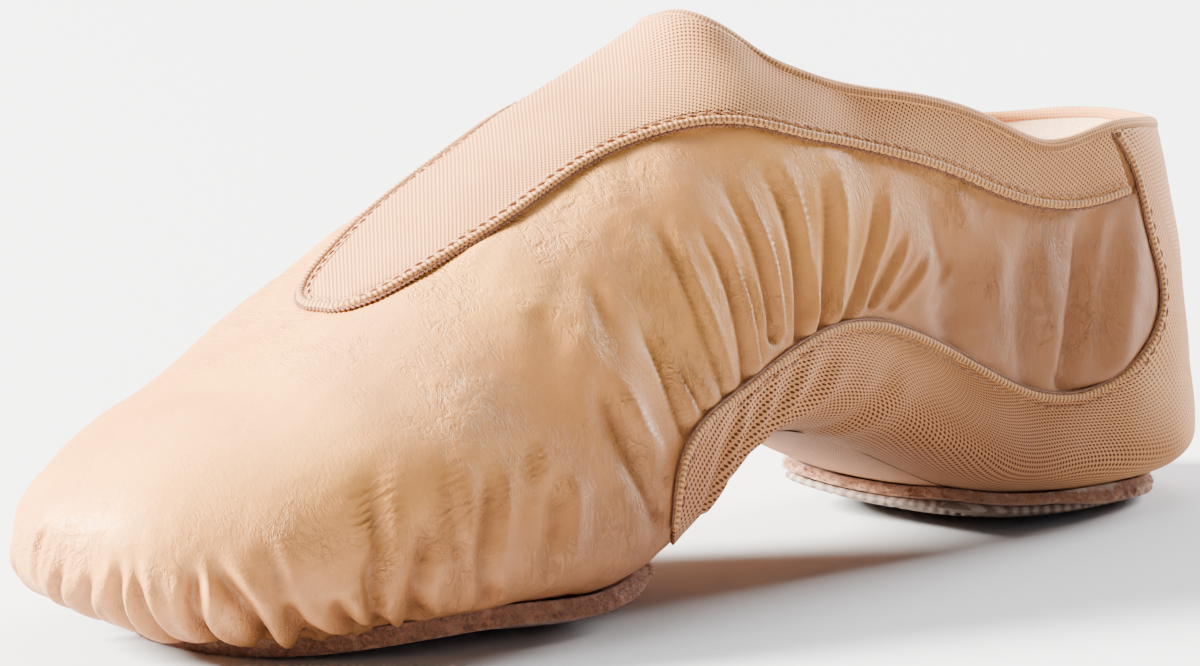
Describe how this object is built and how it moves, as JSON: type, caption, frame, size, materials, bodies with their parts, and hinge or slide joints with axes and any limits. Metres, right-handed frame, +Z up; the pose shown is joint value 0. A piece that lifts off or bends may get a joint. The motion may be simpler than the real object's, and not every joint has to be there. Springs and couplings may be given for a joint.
{
  "type": "jazz shoe",
  "caption": "Soft slip-on jazz shoe for the left foot: tan pleated leather, mesh throat gore, mesh arch and counter, and a split suede sole",
  "frame": {"origin": "centre of the bounding box, at floor level under the pads", "axes": "+X from heel to toe, +Y to the wearer's left (the outer side), +Z up"},
  "size_m": [0.2465, 0.0878, 0.0908],
  "materials": {
    "leather": "satin, soft creased nappa",
    "mesh": "matte stretch mesh",
    "cord": "matte twisted thread",
    "suede": "napped suede",
    "heel_suede": "napped suede",
    "rubber": "matte, herringbone tread",
    "lining": "matte cloth"
  },
  "bodies": {
    "root": {"upper": "leather", "throat_gore": "mesh", "gore_edge": "mesh", "arch_counter_panel": "mesh", "collar_binding": "mesh", "quarter_piping_left": "cord", "quarter_piping_right": "cord", "insole": "lining", "forefoot_outsole": "suede", "heel_outsole": "heel_suede", "heel_tread": "rubber"}
  },
  "joints": []
}
